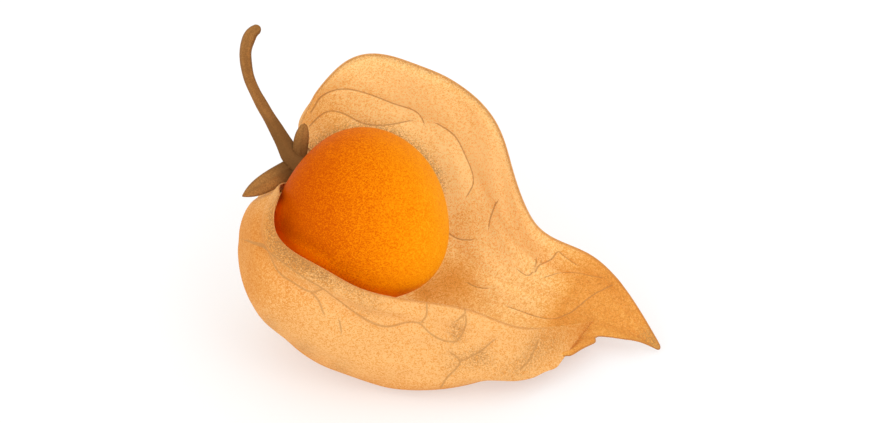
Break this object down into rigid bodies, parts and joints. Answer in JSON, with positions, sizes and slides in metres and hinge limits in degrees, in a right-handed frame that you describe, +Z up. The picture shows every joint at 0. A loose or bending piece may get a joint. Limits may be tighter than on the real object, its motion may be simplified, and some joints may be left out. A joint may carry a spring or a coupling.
{
  "type": "physalis fruit",
  "caption": "Round orange berry lying in its opened papery husk, with a curved brown stem and small brown sepals at the joint.",
  "frame": {"origin": "on the resting plane, under the middle of the bounding box", "axes": "+Z up, +X towards the husk's pointed tip, -Y towards the husk's open mouth"},
  "size_m": [0.0488, 0.0348, 0.0374],
  "materials": {
    "husk_paper": "matte, dry and papery",
    "berry_skin": "smooth waxy skin",
    "stem_bark": "matte, dry"
  },
  "bodies": {
    "root": {"husk": "husk_paper", "berry": "berry_skin", "stem": "stem_bark"}
  },
  "joints": []
}
